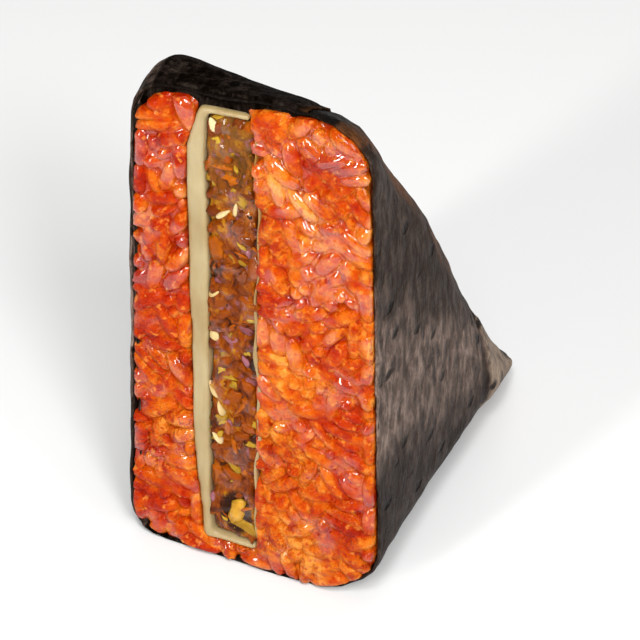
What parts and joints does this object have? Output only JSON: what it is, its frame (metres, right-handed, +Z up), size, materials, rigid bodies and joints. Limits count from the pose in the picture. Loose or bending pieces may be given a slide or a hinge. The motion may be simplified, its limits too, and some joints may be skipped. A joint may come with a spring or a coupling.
{
  "type": "onigiri rice ball half",
  "caption": "Half of a triangular onigiri: seasoned rice in a seaweed wrap, cut to show a cheese and meat filling.",
  "frame": {"origin": "centre of the object's box, on the surface it stands on", "axes": "+Z up, +Y from the cut face towards the base corner, +X from the thin rice side towards the thick one"},
  "size_m": [0.034, 0.0479, 0.0732],
  "materials": {
    "nori": "dry roasted seaweed sheet, near black with a brown cast and a soft sheen",
    "rice": "glossy cooked rice in an orange-red sauce",
    "cheese": "smooth pale yellow processed cheese, slightly melted",
    "filling": "moist chopped meat and cabbage in brown sauce"
  },
  "bodies": {
    "root": {"nori": "nori", "rice": "rice", "cheese": "cheese", "filling": "filling"}
  },
  "joints": []
}
